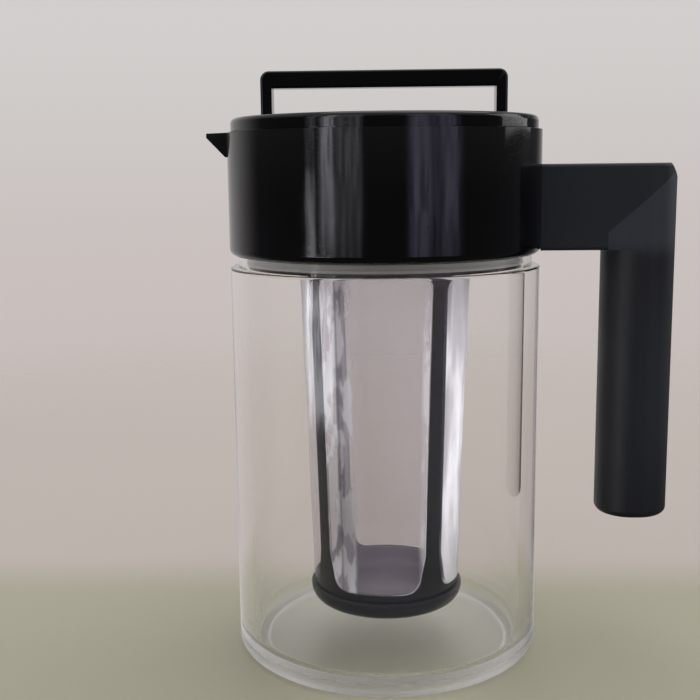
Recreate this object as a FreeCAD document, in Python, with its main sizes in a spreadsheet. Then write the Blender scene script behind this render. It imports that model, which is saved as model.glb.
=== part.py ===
import FreeCAD, Part
import os
import re
import Sketcher

# Cold brew coffee maker, in millimetres.
# The origin is on the table under the middle of the pitcher, with +Z up.
# The handle points along +X, the spout along -X, and the view from the front looks along +Y.

DOC = FreeCAD.newDocument("coffee_maker")
SHEET = DOC.addObject("Spreadsheet::Sheet", "Sizes")
WORKED = DOC.addObject("Spreadsheet::Sheet", "Worked")

# Driving sizes: the alias, its value, and what it measures
SIZES = [
    ("bore_radius", 48.5, "inner radius of the pitcher at its neck"),
    ("bore_draft", 0.7, "how much the bore narrows from neck to floor"),
    ("wall_thick", 5.2, "wall of the pitcher below its shoulder"),
    ("shoulder_top", 137.0, "height of the pitcher's shoulder"),
    ("floor_thick", 5.0, "height of the pitcher's floor above the table"),
    ("floor_round", 4.0, "inner corner between floor and bore"),
    ("base_round", 4.0, "outer corner of the pitcher's base"),
    ("foot_width", 5.5, "width of the ring that the pitcher stands on"),
    ("dish_depth", 1.2, "hollow under the base"),
    ("neck_wall", 2.5, "wall of the neck above the shoulder"),
    ("neck_height", 32.5, "neck above the shoulder"),
    ("edge_round", 0.8, "small moulded edge"),
    ("seat_gap", 0.15, "clearance between collar and neck"),
    ("bead_rise", 0.4, "snap bead on the neck"),
    ("bead_width", 2.0, "height of the snap bead"),
    ("bead_up", 12.0, "snap bead above the shoulder"),
    ("rim_seal", 1.5, "flat gasket on the neck's rim"),
    ("collar_wall", 2.75, "wall of the collar"),
    ("collar_lift", 4.0, "gap between shoulder and collar"),
    ("collar_round", 2.6, "lower outer edge of the collar"),
    ("ledge_thick", 2.0, "ledge inside the collar over the neck's rim"),
    ("throat_tall", 9.5, "collar above its ledge"),
    ("spout_reach", 7.5, "spout beyond the collar"),
    ("spout_half", 11.0, "half width of the spout at the collar"),
    ("spout_lip", 1.5, "height of the spout's lip"),
    ("spout_drop", 8.2, "height of the spout's root"),
    ("spout_wall", 1.6, "wall of the spout"),
    ("spout_cheek", 2.4, "thickness of the spout's sides at the collar"),
    ("throat_deep", 5.8, "depth of the throat below the collar's top"),
    ("throat_end", 5.8, "spout beyond the end of its throat"),
    ("throat_tip", 3.7, "half width of the throat at its end"),
    ("run_gap", 0.4, "clearance of round parts that turn or lift"),
    ("face_gap", 0.3, "clearance between faces that move apart"),
    ("fit_gap", 0.05, "clearance between fixed parts"),
    ("overcut", 1.0, "how far a cut runs past a face"),
    ("plug_gap", 0.9, "clearance between plug and bore"),
    ("plug_wall", 2.2, "wall of the plug"),
    ("plug_tall", 37.5, "plug below its flange"),
    ("web_thick", 2.0, "web at the foot of the plug"),
    ("flange_thick", 1.5, "flange of the plug"),
    ("face_seal", 1.2, "thickness of the face gaskets"),
    ("seal_width", 1.3, "radial width of the flange gasket"),
    ("lip_tall", 5.0, "height of the plug's lip gasket"),
    ("lip_up", 1.0, "lip gasket above the plug's lower edge"),
    ("lip_groove", 0.9, "depth of the lip gasket's groove"),
    ("socket_radius", 33.3, "bore of the filter's socket"),
    ("socket_wall", 2.3, "wall of the filter's socket"),
    ("socket_deep", 13.5, "depth of the filter's socket"),
    ("port_half", 8.0, "half width of the pouring port"),
    ("port_tall", 14.0, "height of the pouring port"),
    ("port_angle", 18.0, "angle of the pouring passage in the lid"),
    ("port_wall", 0.8, "wall between the pouring passage and the well"),
    ("slot_count", 24.0, "strainer slots in the plug's web"),
    ("slot_wide", 3.0, "width of a strainer slot"),
    ("slot_rim", 1.5, "web left at each end of a slot"),
    ("cap_step", 1.3, "how far the lid's rim sits inside the collar's face"),
    ("cap_rim_tall", 4.4, "height of the lid's rim"),
    ("cap_round", 1.8, "upper outer edge of the lid's rim"),
    ("cap_floor", 1.2, "floor of the well"),
    ("well_wall", 3.35, "wall round the well in the lid"),
    ("liner_floor", 0.9, "plate of the liner"),
    ("skirt_tall", 8.0, "snap skirt of the liner"),
    ("skirt_wall", 2.0, "wall of the snap skirt"),
    ("snap_rise", 0.5, "snap bead of the skirt"),
    ("snap_wide", 1.4, "height of the snap bead"),
    ("bail_clear", 0.9, "clearance of the folded bail inside the well"),
    ("bail_leg", 3.9, "thickness of the bail's legs"),
    ("bail_deep", 8.0, "depth of the bail from front to back"),
    ("bail_bar", 5.8, "height of the bail's bar"),
    ("bail_rise", 20.0, "top of the bail above its pins"),
    ("bail_round", 3.0, "upper corners of the bail"),
    ("pin_radius", 1.5, "bail pin"),
    ("pin_long", 8.6, "length of a bail pin"),
    ("pin_gap", 0.05, "radial clearance between pin and bail"),
    ("ear_half", 3.4, "half depth of the ears that hold the pins"),
    ("ear_over", 2.6, "ear above the pin's axis"),
    ("arm_up", 1.0, "underside of the arm above the collar's lower edge"),
    ("arm_tall", 29.0, "height of the arm"),
    ("arm_chamfer", 3.7, "width of the chamfer on the outer top corner of the arm"),
    ("chamfer_tall", 5.5, "height of that chamfer"),
    ("arm_round", 1.2, "long edges of the arm"),
    ("mitre_up", 6.0, "inner end of the mitre above the underside of the arm"),
    ("finger_gap", 21.5, "gap between collar and grip"),
    ("grip_wide", 24.9, "width of the grip"),
    ("grip_half", 12.0, "half depth of the grip and the arm"),
    ("grip_long", 94.5, "length of the grip below the arm"),
    ("grip_corner", 11.5, "upright corners of the grip and of the arm's end"),
    ("grip_round", 2.5, "lower edge of the grip"),
    ("tang_half", 6.0, "half width of the tang"),
    ("tang_foot", 6.0, "grip below the tang"),
    ("boss_reach", 16.0, "boss of the collar inside the arm"),
    ("boss_half", 6.0, "half depth of the boss"),
    ("boss_up", 7.0, "boss above the underside of the arm"),
    ("boss_tall", 14.0, "height of the boss"),
    ("screw_radius", 1.5, "screw"),
    ("head_radius", 2.8, "head of the screw"),
    ("head_tall", 2.0, "height of the head"),
    ("head_sink", 3.0, "depth of the hole for the head"),
    ("hex_radius", 1.4, "corners of the screw's hexagon socket"),
    ("hex_deep", 1.2, "depth of the hexagon socket"),
    ("screw_pitch", 7.0, "distance between the screws"),
    ("screw_bite", 6.0, "length of screw in the boss"),
    ("insert_wall", 0.9, "wall of the threaded insert"),
    ("ring_lug", 1.4, "reach of a bayonet lug"),
    ("ring_step", 1.3, "step between the ring and the cage"),
    ("ring_drop", 0.5, "ring below the plug"),
    ("lug_angle", 40.0, "angle of a bayonet lug"),
    ("shelf_angle", 50.0, "angle of a bayonet shelf in the socket"),
    ("lug_tall", 3.0, "height of a bayonet lug"),
    ("filter_taper", 3.7, "how much the cage narrows from ring to cup"),
    ("rib_thick", 2.8, "thickness of the ribs"),
    ("rib_half", 3.0, "half width of a rib"),
    ("rib_turn", -8.0, "turn of the windows about the axis"),
    ("band_tall", 2.0, "band above the windows"),
    ("spigot_tall", 6.0, "spigot of the cage inside the ring"),
    ("spigot_wall", 1.4, "wall of the spigot"),
    ("cup_step", 0.9, "cup beyond the ribs"),
    ("cup_clear", 10.8, "gap between the cup and the pitcher's floor"),
    ("cup_tall", 7.0, "height of the cup"),
    ("cup_floor", 2.2, "floor of the cup"),
    ("cup_round", 5.8, "lower edge of the cup"),
    ("window_sill", 2.4, "band below the windows"),
    ("flare_tall", 13.0, "height of the flare at the foot of a rib"),
    ("flare_wide", 2.2, "how far the flare reaches into a window"),
    ("mesh_thick", 0.5, "thickness of the mesh"),
]

ALIASES = [name for name, amount, note in SIZES]

# Radii and heights that several pieces share, as expressions of the driving sizes
WALL_RADIUS = "(bore_radius + wall_thick)"
NECK_RADIUS = "(bore_radius + neck_wall)"
RIM_TOP = "(shoulder_top + neck_height)"
COLLAR_BORE = f"({NECK_RADIUS} + seat_gap)"
COLLAR_RADIUS = f"({COLLAR_BORE} + collar_wall)"
COLLAR_LOW = "(shoulder_top + collar_lift)"
LEDGE_LOW = f"({RIM_TOP} + rim_seal)"
LEDGE_TOP = f"({LEDGE_LOW} + ledge_thick)"
COLLAR_TOP = f"({LEDGE_TOP} + throat_tall)"
LID_RADIUS = f"({COLLAR_BORE} - run_gap)"
FLANGE_LOW = f"({LEDGE_TOP} + face_gap + face_seal)"
FLANGE_TOP = f"({FLANGE_LOW} + flange_thick)"
PLUG_RADIUS = "(bore_radius - plug_gap)"
PLUG_BORE = f"({PLUG_RADIUS} - plug_wall)"
PLUG_FOOT = f"({FLANGE_LOW} - plug_tall)"
WEB_TOP = f"({PLUG_FOOT} + web_thick)"
SOCKET_OUTER = "(socket_radius + socket_wall)"
SOCKET_TOP = f"({PLUG_FOOT} + socket_deep)"
CAP_RADIUS = f"({COLLAR_RADIUS} - cap_step)"
CAP_LOW = f"({COLLAR_TOP} + face_gap)"
CAP_TOP = f"({CAP_LOW} + cap_rim_tall)"
LINER_LOW = f"({FLANGE_TOP} + face_gap)"
LINER_TOP = f"({LINER_LOW} + liner_floor)"
WELL_FLOOR = f"({LINER_TOP} + cap_floor)"
WELL_RADIUS = f"({LID_RADIUS} - well_wall)"
SKIRT_RADIUS = f"({PLUG_BORE} - run_gap)"
SKIRT_LOW = f"({LINER_LOW} - skirt_tall)"
SNAP_LOW = f"({SKIRT_LOW} + snap_rise)"
PORT_RADIUS = f"({WELL_RADIUS} + port_wall)"
PIN_HEIGHT = f"({WELL_FLOOR} + 2 * face_gap + bail_deep / 2)"
BAIL_TOP = f"({PIN_HEIGHT} + bail_rise)"
BAIL_HALF = f"sqrt(({WELL_RADIUS} - bail_clear)^2 - bail_rise^2)"
ARM_LOW = f"({COLLAR_LOW} + arm_up)"
ARM_TOP = f"({ARM_LOW} + arm_tall)"
MITRE_LOW = f"({ARM_LOW} + mitre_up)"
BOSS_LOW = f"({ARM_LOW} + boss_up)"
GRIP_INNER = f"({COLLAR_RADIUS} + finger_gap)"
GRIP_MIDDLE = f"({GRIP_INNER} + grip_wide / 2)"
GRIP_OUTER = f"({GRIP_INNER} + grip_wide)"
CHAMFER_LOW = (GRIP_OUTER, f"{ARM_TOP} - chamfer_tall")
CHAMFER_MIDDLE = (f"{GRIP_OUTER} - arm_chamfer / 2", f"{ARM_TOP} - chamfer_tall / 2")
CHAMFER_TOP = (f"{GRIP_OUTER} - arm_chamfer", ARM_TOP)
GRIP_FOOT = f"({ARM_LOW} - grip_long)"
RING_RADIUS = "(socket_radius - run_gap - ring_lug)"
RING_TOP = f"({SOCKET_TOP} - face_gap - face_seal)"
FILTER_RADIUS = f"({RING_RADIUS} - ring_step)"
FILTER_BORE = f"({FILTER_RADIUS} - rib_thick)"
SPIGOT_RADIUS = f"({FILTER_BORE} + spigot_wall)"
CAGE_TOP = f"({PLUG_FOOT} - ring_drop)"
CUP_LOW = "(floor_thick + cup_clear)"
CUP_TOP = f"({CUP_LOW} + cup_tall)"
CUP_NECK = f"({FILTER_RADIUS} - filter_taper)"
CUP_RADIUS = f"({CUP_NECK} + cup_step)"
LUG_LOW = f"({WEB_TOP} + face_gap)"


def fill_sheet():
    for row, (name, amount, note) in enumerate(SIZES, 1):
        SHEET.set(f"A{row}", note)
        SHEET.set(f"B{row}", str(amount))
        SHEET.setAlias(f"B{row}", name)
    DOC.recompute()


def formula(text):
    """Put the sheet's name before each alias in an expression."""
    def named(match):
        word = match.group()
        return "Sizes." + word if word in ALIASES else word
    return re.sub(r"[A-Za-z_]\w*", named, text)


def amount_of(text):
    """The present value of an expression, worked out in a cell of the second sheet."""
    WORKED.set("A1", "=" + formula(text))
    DOC.recompute([WORKED])
    return float(WORKED.get("A1"))


def origin_item(body, role):
    for feature in body.Origin.OriginFeatures:
        if feature.Role == role:
            return feature
    raise ValueError(role)


def new_body(label):
    body = DOC.addObject("PartDesign::Body", label)
    body.Label = label
    return body


def new_sketch(body, name, role, rise):
    """An empty sketch on an origin plane of its body, moved along the plane's normal by rise."""
    sketch = body.newObject("Sketcher::SketchObject", name)
    sketch.AttachmentSupport = [(origin_item(body, role), "")]
    sketch.MapMode = "FlatFace"
    if rise != "0":
        sketch.setExpression("AttachmentOffset.Base.z", formula(rise))
    return sketch


def bind_point(sketch, geometry, end, place, start):
    """Bind a point of a sketch to the sheet, by its two distances from the origin."""
    for kind, text, amount, axis in (("DistanceX", place[0], start.x, -2),
                                     ("DistanceY", place[1], start.y, -1)):
        if text == "0":
            sketch.addConstraint(Sketcher.Constraint("PointOnObject", geometry, end, axis))
        else:
            index = sketch.addConstraint(Sketcher.Constraint(kind, -1, 1, geometry, end, amount))
            sketch.setExpression(f"Constraints[{index}]", formula(text))


def outline(body, name, role, corners, rise="0"):
    """A closed sketch of straight sides, with every corner bound to the sheet."""
    sketch = new_sketch(body, name, role, rise)
    count = len(corners)
    turn = FreeCAD.Rotation(FreeCAD.Vector(0, 0, 1), 360.0 / count)
    start = [FreeCAD.Vector(10, 0, 0)]
    for _ in range(count - 1):
        start.append(turn.multVec(start[-1]))
    sides = [Part.LineSegment(start[k], start[(k + 1) % count]) for k in range(count)]
    sketch.addGeometry(sides, False)
    for k in range(count):
        sketch.addConstraint(Sketcher.Constraint("Coincident", k, 2, (k + 1) % count, 1))
    for k, corner in enumerate(corners):
        bind_point(sketch, k, 1, corner, start[k])
    return sketch


def circle(body, name, role, radius, place=("0", "0"), rise="0"):
    """A sketch of one circle, with its radius and centre bound to the sheet."""
    sketch = new_sketch(body, name, role, rise)
    start = FreeCAD.Vector(5, 4, 0)
    sketch.addGeometry(Part.Circle(start, FreeCAD.Vector(0, 0, 1), 2), False)
    index = sketch.addConstraint(Sketcher.Constraint("Radius", 0, 2))
    sketch.setExpression(f"Constraints[{index}]", formula(radius))
    bind_point(sketch, 0, 3, place, start)
    return sketch


def box_plan(low_x, high_x, half):
    """The corners of a rectangle that is symmetric about its first axis."""
    return [(low_x, f"-({half})"), (high_x, f"-({half})"), (high_x, half), (low_x, half)]


def turned(body, name, corners, kind="Revolution", angle=None):
    """A revolved feature, from corners given as radius and height."""
    sketch = outline(body, name + "_outline", "XZ_Plane", corners)
    feature = body.newObject("PartDesign::" + kind, name)
    feature.Profile = sketch
    feature.ReferenceAxis = (sketch, ["V_Axis"])
    if angle is None:
        feature.Angle = 360
    else:
        feature.Midplane = True
        feature.setExpression("Angle", formula(angle))
    return feature


def raised(body, name, sketch, length, kind="Pad", back=False, symmetric=False):
    """A pad or pocket of a bound length."""
    feature = body.newObject("PartDesign::" + kind, name)
    feature.Profile = sketch
    feature.setExpression("Length", formula(length))
    feature.Reversed = back
    if symmetric:
        feature.SideType = "Symmetric"
    return feature


def polar(body, name, feature, count):
    """A full-circle pattern of one feature about the upright axis."""
    pattern = body.newObject("PartDesign::PolarPattern", name)
    pattern.Originals = [feature]
    pattern.Axis = (origin_item(body, "Z_Axis"), [""])
    pattern.Angle = 360
    pattern.setExpression("Occurrences", formula(count))
    body.Tip = pattern
    return pattern


def rounded(body, name, radius, *tests):
    """A fillet on the edges of the present tip that pass one of the tests."""
    DOC.recompute()
    base = body.Tip
    names = []
    for wanted in tests:
        found = [f"Edge{n}" for n, edge in enumerate(base.Shape.Edges, 1) if wanted(edge)]
        if not found:
            raise ValueError(f"{body.Label}: no edge for {name}")
        names += [edge for edge in found if edge not in names]
    fillet = body.newObject("PartDesign::Fillet", name)
    fillet.Base = (base, names)
    fillet.setExpression("Radius", formula(radius))
    return fillet


def level(edge, height):
    """Whether an edge lies flat at this height."""
    box = edge.BoundBox
    return abs(box.ZMin - height) < 0.01 and abs(box.ZMax - height) < 0.01


def ring_edge(radius, height):
    """A test for an edge round the axis, with this radius at this height."""
    def wanted(edge):
        point = edge.Vertexes[0].Point
        return level(edge, height) and abs(point.x ** 2 + point.y ** 2 - radius ** 2) < 0.5
    return wanted


def level_edge(height):
    """A test for every edge at this height."""
    return lambda edge: level(edge, height)


def along_x(half, height):
    """A test for a straight edge along X, at this half depth and height."""
    def wanted(edge):
        box = edge.BoundBox
        return level(edge, height) and box.YLength < 0.01 and abs(abs(box.YMin) - half) < 0.01
    return wanted


def along_y(half, height):
    """A test for a straight edge along Y, at this half width and height."""
    def wanted(edge):
        box = edge.BoundBox
        return level(edge, height) and box.XLength < 0.01 and abs(abs(box.XMin) - half) < 0.01
    return wanted


def upright(edge):
    """A test for a straight upright edge."""
    box = edge.BoundBox
    return box.XLength < 0.01 and box.YLength < 0.01 and box.ZLength > 1


def upright_at(place):
    """A test for a straight upright edge at this distance along the handle."""
    return lambda edge: upright(edge) and abs(edge.BoundBox.XMin - place) < 0.01


# Clear pitcher with a thick wall and a stepped neck
def make_pitcher():
    body = new_body("pitcher_body")
    low_bore = "(bore_radius - bore_draft)"
    foot_inner = f"({WALL_RADIUS} - base_round - foot_width)"
    bead_low = "(shoulder_top + bead_up)"
    bead_top = f"({bead_low} + bead_width)"
    turned(body, "pitcher_wall", [
        ("0", "dish_depth"),
        (f"{foot_inner} - dish_depth", "dish_depth"),
        (foot_inner, "0"),
        (WALL_RADIUS, "0"),
        (WALL_RADIUS, "shoulder_top"),
        (NECK_RADIUS, "shoulder_top"),
        (NECK_RADIUS, bead_low),
        (f"{NECK_RADIUS} + bead_rise", f"{bead_low} + bead_rise"),
        (f"{NECK_RADIUS} + bead_rise", f"{bead_top} - bead_rise"),
        (NECK_RADIUS, bead_top),
        (NECK_RADIUS, RIM_TOP),
        ("bore_radius", RIM_TOP),
        (low_bore, "floor_thick"),
        ("0", "floor_thick"),
    ])
    wall = amount_of(WALL_RADIUS)
    rim = amount_of(RIM_TOP)
    rounded(body, "base_corner", "base_round", ring_edge(wall, 0))
    rounded(body, "floor_corner", "floor_round", ring_edge(amount_of(low_bore), amount_of("floor_thick")))
    rounded(body, "shoulder_edge", "edge_round", ring_edge(wall, amount_of("shoulder_top")))
    rounded(body, "rim_edges", "edge_round", ring_edge(amount_of(NECK_RADIUS), rim),
            ring_edge(amount_of("bore_radius"), rim))


def make_ring(label, inner, outer, low, top):
    """A plain ring between two radii and two heights."""
    body = new_body(label)
    turned(body, label + "_ring", [(inner, low), (outer, low), (outer, top), (inner, top)])


# Flat gaskets: on the neck's rim, under the plug's flange, and on top of the filter
def make_flat_gaskets():
    make_ring("neck_gasket", "bore_radius + edge_round", f"{NECK_RADIUS} - edge_round / 2",
              RIM_TOP, LEDGE_LOW)
    make_ring("flange_gasket", f"{LID_RADIUS} - face_gap - seal_width", f"{LID_RADIUS} - face_gap",
              f"{FLANGE_LOW} - face_seal", FLANGE_LOW)
    make_ring("filter_gasket", f"{SPIGOT_RADIUS} + face_gap", f"{RING_RADIUS} - face_gap",
              RING_TOP, f"{RING_TOP} + face_seal")


def screw_places():
    """The two screws' distances from the axis, along the handle."""
    middle = f"({COLLAR_RADIUS} + boss_reach / 2)"
    return [f"({middle} - screw_pitch / 2)", f"({middle} + screw_pitch / 2)"]


# Collar drum with its spout and the boss that carries the handle
def make_collar():
    body = new_body("handle_collar")
    groove_low = "(shoulder_top + bead_up - bead_rise / 2)"
    groove_top = "(shoulder_top + bead_up + bead_width + bead_rise / 2)"
    groove = f"({COLLAR_BORE} + bead_rise)"
    turned(body, "drum", [
        (COLLAR_BORE, COLLAR_LOW),
        (COLLAR_RADIUS, COLLAR_LOW),
        (COLLAR_RADIUS, COLLAR_TOP),
        (COLLAR_BORE, COLLAR_TOP),
        (COLLAR_BORE, LEDGE_TOP),
        ("bore_radius", LEDGE_TOP),
        ("bore_radius", LEDGE_LOW),
        (COLLAR_BORE, LEDGE_LOW),
        (COLLAR_BORE, groove_top),
        (groove, f"{groove_top} - bead_rise"),
        (groove, f"{groove_low} + bead_rise"),
        (COLLAR_BORE, groove_low),
    ])
    rounded(body, "drum_foot", "collar_round", ring_edge(amount_of(COLLAR_RADIUS), amount_of(COLLAR_LOW)))
    add_spout(body)
    boss = outline(body, "boss_face", "YZ_Plane", [
        ("-boss_half", BOSS_LOW),
        ("boss_half", BOSS_LOW),
        ("boss_half", f"{BOSS_LOW} + boss_tall"),
        ("-boss_half", f"{BOSS_LOW} + boss_tall"),
    ], rise=f"{COLLAR_RADIUS} - collar_wall / 2")
    raised(body, "boss", boss, "boss_reach + collar_wall / 2")
    for number, place in enumerate(screw_places(), 1):
        hole = circle(body, f"insert_plan_{number}", "XY_Plane", "screw_radius + insert_wall",
                      (place, "0"), rise=BOSS_LOW)
        raised(body, f"insert_hole_{number}", hole, "screw_bite + face_gap", kind="Pocket", back=True)


def add_spout(body):
    """The pointed spout, its sloping underside, and the channel that runs out through it."""
    root = f"({COLLAR_RADIUS} - spout_cheek)"
    tip = f"({COLLAR_RADIUS} + spout_reach)"
    inside = f"({COLLAR_BORE} - spout_wall)"
    throat_half = "(spout_half - spout_cheek)"
    plan = outline(body, "spout_plan", "XY_Plane", [
        (f"-{root}", "-spout_half"),
        (f"-{root}", "spout_half"),
        (f"-{tip} + spout_wall / 2", "spout_wall"),
        (f"-{tip}", "spout_wall / 2"),
        (f"-{tip}", "-spout_wall / 2"),
        (f"-{tip} + spout_wall / 2", "-spout_wall"),
    ], rise=f"{COLLAR_TOP} - spout_drop")
    raised(body, "spout", plan, "spout_drop")
    keel = outline(body, "spout_keel", "XZ_Plane", [
        (f"-{tip} - overcut", f"{COLLAR_TOP} - spout_lip"),
        (f"-{tip}", f"{COLLAR_TOP} - spout_lip"),
        (f"-{COLLAR_RADIUS}", f"{COLLAR_TOP} - spout_drop"),
        (f"-{COLLAR_RADIUS}", f"{COLLAR_TOP} - spout_drop - overcut"),
        (f"-{tip} - overcut", f"{COLLAR_TOP} - spout_drop - overcut"),
    ])
    raised(body, "spout_under", keel, "spout_half * 4", kind="Pocket", symmetric=True)
    mouth = outline(body, "mouth_plan", "XY_Plane", [
        (f"-{inside}", f"-{throat_half}"),
        (f"-{inside}", throat_half),
        (f"-{root}", throat_half),
        (f"-{tip} + spout_wall", "spout_wall / 4"),
        (f"-{tip} + spout_wall", "-spout_wall / 4"),
        (f"-{root}", f"-{throat_half}"),
    ], rise=COLLAR_TOP)
    raised(body, "mouth", mouth, "spout_lip - spout_wall / 2", kind="Pocket")
    throat = outline(body, "throat_plan", "XY_Plane", [
        (f"-{inside}", f"-{throat_half}"),
        (f"-{inside}", throat_half),
        (f"-{root}", throat_half),
        (f"-{tip} + throat_end", "throat_tip"),
        (f"-{tip} + throat_end", "-throat_tip"),
        (f"-{root}", f"-{throat_half}"),
    ], rise=COLLAR_TOP)
    raised(body, "throat", throat, "throat_deep", kind="Pocket")


def bound_cylinder(name, radius, height, place, low):
    """An upright cylinder whose size and place are bound to the sheet."""
    shape = DOC.addObject("Part::Cylinder", name)
    shape.setExpression("Radius", formula(radius))
    shape.setExpression("Height", formula(height))
    shape.setExpression("Placement.Base.x", formula(place))
    shape.setExpression("Placement.Base.z", formula(low))
    return shape


def combined(kind, name, base, tool):
    """A cut or a fusion of two shapes."""
    result = DOC.addObject("Part::" + kind, name)
    result.Base = base
    result.Tool = tool
    return result


def grouped(label, shapes):
    """Identical pieces that share one node."""
    result = DOC.addObject("Part::Compound", label)
    result.Label = label
    result.Links = shapes
    return result


# Two threaded inserts in the collar's boss
def make_inserts():
    parts = []
    for number, place in enumerate(screw_places(), 1):
        outer = bound_cylinder(f"insert_outer_{number}", "screw_radius + insert_wall - fit_gap / 2",
                               "screw_bite", place, BOSS_LOW)
        inner = bound_cylinder(f"insert_inner_{number}", "screw_radius + fit_gap / 2",
                               "screw_bite + 2 * overcut", place, f"{BOSS_LOW} - overcut")
        parts.append(combined("Cut", f"insert_{number}", outer, inner))
    grouped("handle_inserts", parts)


# Two screws with hexagon sockets, driven up through the underside of the arm
def make_screws():
    parts = []
    seat = f"({ARM_LOW} + head_sink)"
    for number, place in enumerate(screw_places(), 1):
        shank = bound_cylinder(f"shank_{number}", "screw_radius", f"{BOSS_LOW} + screw_bite - {seat}",
                               place, seat)
        head = bound_cylinder(f"head_{number}", "head_radius", "head_tall", place, f"{seat} - head_tall")
        hexagon = DOC.addObject("Part::Prism", f"hexagon_{number}")
        hexagon.Polygon = 6
        hexagon.setExpression("Circumradius", formula("hex_radius"))
        hexagon.setExpression("Height", formula("hex_deep + overcut"))
        hexagon.setExpression("Placement.Base.x", formula(place))
        hexagon.setExpression("Placement.Base.z", formula(f"{seat} - head_tall - overcut"))
        socket_head = combined("Cut", f"socket_head_{number}", head, hexagon)
        parts.append(combined("Fuse", f"screw_{number}", shank, socket_head))
    grouped("handle_screws", parts)


def tang_plan(gap):
    """The plan of the tang inside the grip, grown by a gap."""
    return box_plan(f"{GRIP_MIDDLE} - tang_half - {gap}", f"{GRIP_MIDDLE} + tang_half + {gap}",
                    f"tang_half + {gap}")


# Arm, in one with the tang that runs down inside the grip
def make_arm():
    body = new_body("handle_arm")
    half = amount_of("grip_half")
    plan = outline(body, "arm_plan", "XY_Plane", box_plan("bore_radius", GRIP_OUTER, "grip_half"),
                   rise=ARM_LOW)
    raised(body, "arm", plan, "arm_tall")
    rounded(body, "arm_end", "grip_corner", upright_at(amount_of(GRIP_OUTER)))
    rounded(body, "arm_edges", "arm_round", along_x(half, amount_of(ARM_TOP)),
            along_x(half, amount_of(ARM_LOW)))
    mitre = outline(body, "arm_mitre", "XZ_Plane", [
        (GRIP_INNER, MITRE_LOW),
        CHAMFER_MIDDLE,
        CHAMFER_TOP,
        (f"{GRIP_OUTER} - arm_chamfer", f"{ARM_TOP} + overcut"),
        (f"{GRIP_OUTER} + overcut", f"{ARM_TOP} + overcut"),
        (f"{GRIP_OUTER} + overcut", f"{ARM_LOW} - overcut"),
        (GRIP_INNER, f"{ARM_LOW} - overcut"),
    ])
    raised(body, "mitre_cut", mitre, "grip_half * 4", kind="Pocket", symmetric=True)
    foot = f"({GRIP_FOOT} + tang_foot)"
    tang = outline(body, "tang_section", "XY_Plane", tang_plan("0"), rise=foot)
    raised(body, "tang", tang, f"{ARM_LOW} + arm_tall * 4 / 5 - {foot}")
    seat = circle(body, "drum_seat", "XY_Plane", f"{COLLAR_RADIUS} + fit_gap", rise=f"{ARM_LOW} - overcut")
    raised(body, "drum_cut", seat, "arm_tall + 2 * overcut", kind="Pocket", back=True)
    socket = outline(body, "boss_socket", "YZ_Plane", [
        ("-boss_half - fit_gap", f"{BOSS_LOW} - fit_gap"),
        ("boss_half + fit_gap", f"{BOSS_LOW} - fit_gap"),
        ("boss_half + fit_gap", f"{BOSS_LOW} + boss_tall + fit_gap"),
        ("-boss_half - fit_gap", f"{BOSS_LOW} + boss_tall + fit_gap"),
    ], rise="bore_radius")
    raised(body, "socket", socket, f"{COLLAR_RADIUS} - bore_radius + boss_reach + fit_gap",
           kind="Pocket", back=True)
    for number, place in enumerate(screw_places(), 1):
        hole = circle(body, f"screw_plan_{number}", "XY_Plane", "screw_radius + 4 * fit_gap",
                      (place, "0"), rise=f"{ARM_LOW} - overcut")
        raised(body, f"screw_hole_{number}", hole, "boss_up + overcut", kind="Pocket", back=True)
        sink = circle(body, f"sink_plan_{number}", "XY_Plane", "head_radius + face_gap",
                      (place, "0"), rise=f"{ARM_LOW} - overcut")
        raised(body, f"head_hole_{number}", sink, "head_sink + overcut", kind="Pocket", back=True)


# Soft grip: a rounded handle with a flat mitred top
def make_grip():
    body = new_body("grip_sleeve")
    section = outline(body, "grip_section", "XY_Plane", box_plan(GRIP_INNER, GRIP_OUTER, "grip_half"),
                      rise=GRIP_FOOT)
    raised(body, "grip", section, f"{ARM_TOP} - {GRIP_FOOT}")
    rounded(body, "grip_corners", "grip_corner", upright)
    rounded(body, "grip_end", "grip_round", level_edge(amount_of(GRIP_FOOT)))
    square = outline(body, "square_plan", "XY_Plane", box_plan(GRIP_INNER, GRIP_MIDDLE, "grip_half"),
                     rise=ARM_LOW)
    raised(body, "square", square, "arm_tall")
    mitre = outline(body, "grip_mitre", "XZ_Plane", [
        (GRIP_INNER, MITRE_LOW),
        CHAMFER_MIDDLE,
        CHAMFER_LOW,
        (f"{GRIP_OUTER} + overcut", f"{ARM_TOP} - chamfer_tall"),
        (f"{GRIP_OUTER} + overcut", f"{ARM_TOP} + overcut"),
        (f"{GRIP_INNER} - overcut", f"{ARM_TOP} + overcut"),
        (f"{GRIP_INNER} - overcut", MITRE_LOW),
    ])
    raised(body, "grip_top_cut", mitre, "grip_half * 4", kind="Pocket", symmetric=True)
    tang = outline(body, "tang_hole", "XY_Plane", tang_plan("fit_gap"),
                   rise=f"{GRIP_FOOT} + tang_foot - fit_gap")
    raised(body, "tang_bore", tang, "grip_long + arm_tall", kind="Pocket", back=True)


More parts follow.
